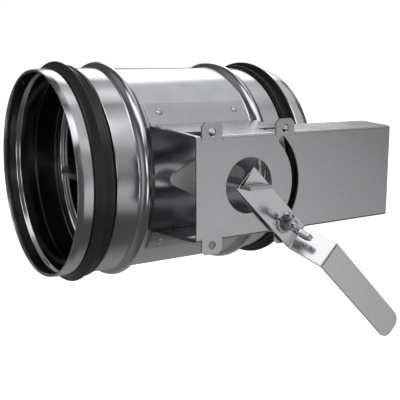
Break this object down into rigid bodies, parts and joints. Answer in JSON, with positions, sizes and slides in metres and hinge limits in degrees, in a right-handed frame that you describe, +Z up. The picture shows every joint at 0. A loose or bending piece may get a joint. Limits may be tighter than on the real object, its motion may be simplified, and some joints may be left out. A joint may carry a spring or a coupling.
{
  "type": "volume control damper",
  "caption": "Round duct volume control damper with a pivoting blade, a standing console and a slotted quadrant with a cranked hand lever and wing nut lock.",
  "frame": {"origin": "centre of the front spigot's open end, on the duct's axis", "axes": "+X along the duct from the front spigot to the rear one, -Y towards the console and lever, +Z up"},
  "size_m": [0.2998, 0.305, 0.2599],
  "materials": {
    "galvanised_sheet": "bright galvanised sheet, smooth rolled",
    "console_sheet": "galvanised sheet, satin",
    "blade_sheet": "galvanised sheet",
    "bearing_sheet": "pressed galvanised sheet",
    "lever_steel": "zinc-plated strip, satin",
    "bar_steel": "zinc-plated flat bar",
    "zinc_plate": "bright zinc plate",
    "rivet_steel": "bright rivet",
    "epdm_rubber": "matt black extruded rubber",
    "bush_plastic": "moulded black nylon",
    "washer_plastic": "moulded black nylon"
  },
  "bodies": {
    "duct_body": {"casing": "galvanised_sheet", "front_gasket": "epdm_rubber", "rear_gasket": "epdm_rubber", "console": "console_sheet", "console_rivets": "rivet_steel", "near_bearing_plate": "bearing_sheet", "far_bearing_plate": "bearing_sheet"},
    "damper": {"near_bush": "bush_plastic", "far_bush": "bush_plastic", "spindle": "bar_steel", "blade": "blade_sheet", "blade_rivets": "rivet_steel", "lever": "lever_steel", "friction_washer": "washer_plastic", "back_washer": "zinc_plate", "lock_bolt": "zinc_plate", "clamp_washer": "zinc_plate", "spring_washer": "zinc_plate"},
    "wing_nut": {"wing_nut": "zinc_plate"}
  },
  "joints": [
    {"name": "blade_turn", "type": "hinge", "parent": "duct_body", "child": "damper", "pos_m": [0.13, 0, 0], "axis": [0, -1, 0], "range_deg": [0, 90]},
    {"name": "wing_nut_turn", "type": "hinge", "parent": "damper", "child": "wing_nut", "pos_m": [0.1662, -0.18, -0.0362], "axis": [0, -1, 0], "range_deg": [0, 450]}
  ]
}
